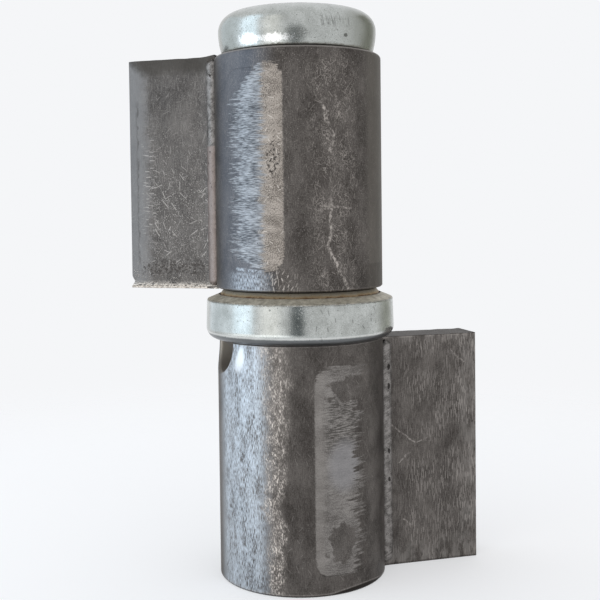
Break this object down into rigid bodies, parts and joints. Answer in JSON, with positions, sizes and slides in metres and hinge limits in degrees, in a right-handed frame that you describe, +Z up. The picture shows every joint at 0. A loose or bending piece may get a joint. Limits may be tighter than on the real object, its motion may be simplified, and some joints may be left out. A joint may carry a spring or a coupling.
{
  "type": "lift-off hinge",
  "caption": "Weld-on lift-off hinge: two round steel barrels with flat leaves on a fixed pin, a shrouded ball thrust bearing between them and a rounded zinc-plated cap on top.",
  "frame": {"origin": "middle of the lower barrel's foot, on the pin's axis", "axes": "+Z up along the pin, +X from the axis along the lower leaf"},
  "size_m": [0.0859, 0.0529, 0.1421],
  "materials": {
    "barrel_steel": "bare drawn steel, dark, scratched, with ground jaw marks",
    "leaf_steel": "bare rolled flat bar, dark, scratched",
    "weld_metal": "bare weld bead, pitted",
    "pin_steel": "ground round bar",
    "zinc_plate": "bright zinc plating, speckled and lightly scratched",
    "race_steel": "hardened steel with old grease and a little rust",
    "cage_steel": "pressed sheet steel",
    "ball_steel": "polished bearing steel"
  },
  "bodies": {
    "lower_half": {"lower_barrel": "barrel_steel", "lower_leaf": "leaf_steel", "lower_weld_front": "weld_metal", "lower_weld_rear": "weld_metal", "hinge_pin": "pin_steel", "bearing_shroud": "zinc_plate", "bearing_lower_race": "race_steel"},
    "ball_set": {"bearing_cage": "cage_steel", "bearing_ball_01": "ball_steel", "bearing_ball_02": "ball_steel", "bearing_ball_03": "ball_steel", "bearing_ball_04": "ball_steel", "bearing_ball_05": "ball_steel", "bearing_ball_06": "ball_steel", "bearing_ball_07": "ball_steel", "bearing_ball_08": "ball_steel", "bearing_ball_09": "ball_steel", "bearing_ball_10": "ball_steel", "bearing_ball_11": "ball_steel", "bearing_ball_12": "ball_steel", "bearing_ball_13": "ball_steel", "bearing_ball_14": "ball_steel", "bearing_ball_15": "ball_steel", "bearing_ball_16": "ball_steel"},
    "turning_race": {"bearing_upper_race": "race_steel"},
    "upper_half": {"upper_barrel": "barrel_steel", "upper_leaf": "leaf_steel", "upper_weld_front": "weld_metal", "upper_weld_rear": "weld_metal", "top_cap": "zinc_plate"}
  },
  "joints": [
    {"name": "swing", "type": "hinge", "parent": "lower_half", "child": "turning_race", "pos_m": [0, 0, 0.0725], "axis": [0, 0, 1], "continuous": true},
    {"name": "balls_roll", "type": "hinge", "parent": "lower_half", "child": "ball_set", "pos_m": [0, 0, 0.06535], "axis": [0, 0, 1], "continuous": true},
    {"name": "lift", "type": "slide", "parent": "turning_race", "child": "upper_half", "axis": [0, 0, 1], "range_m": [0, 0.05]}
  ],
  "couplings": [
    {"joint": "balls_roll", "follows": "swing", "ratio": 0.5}
  ]
}
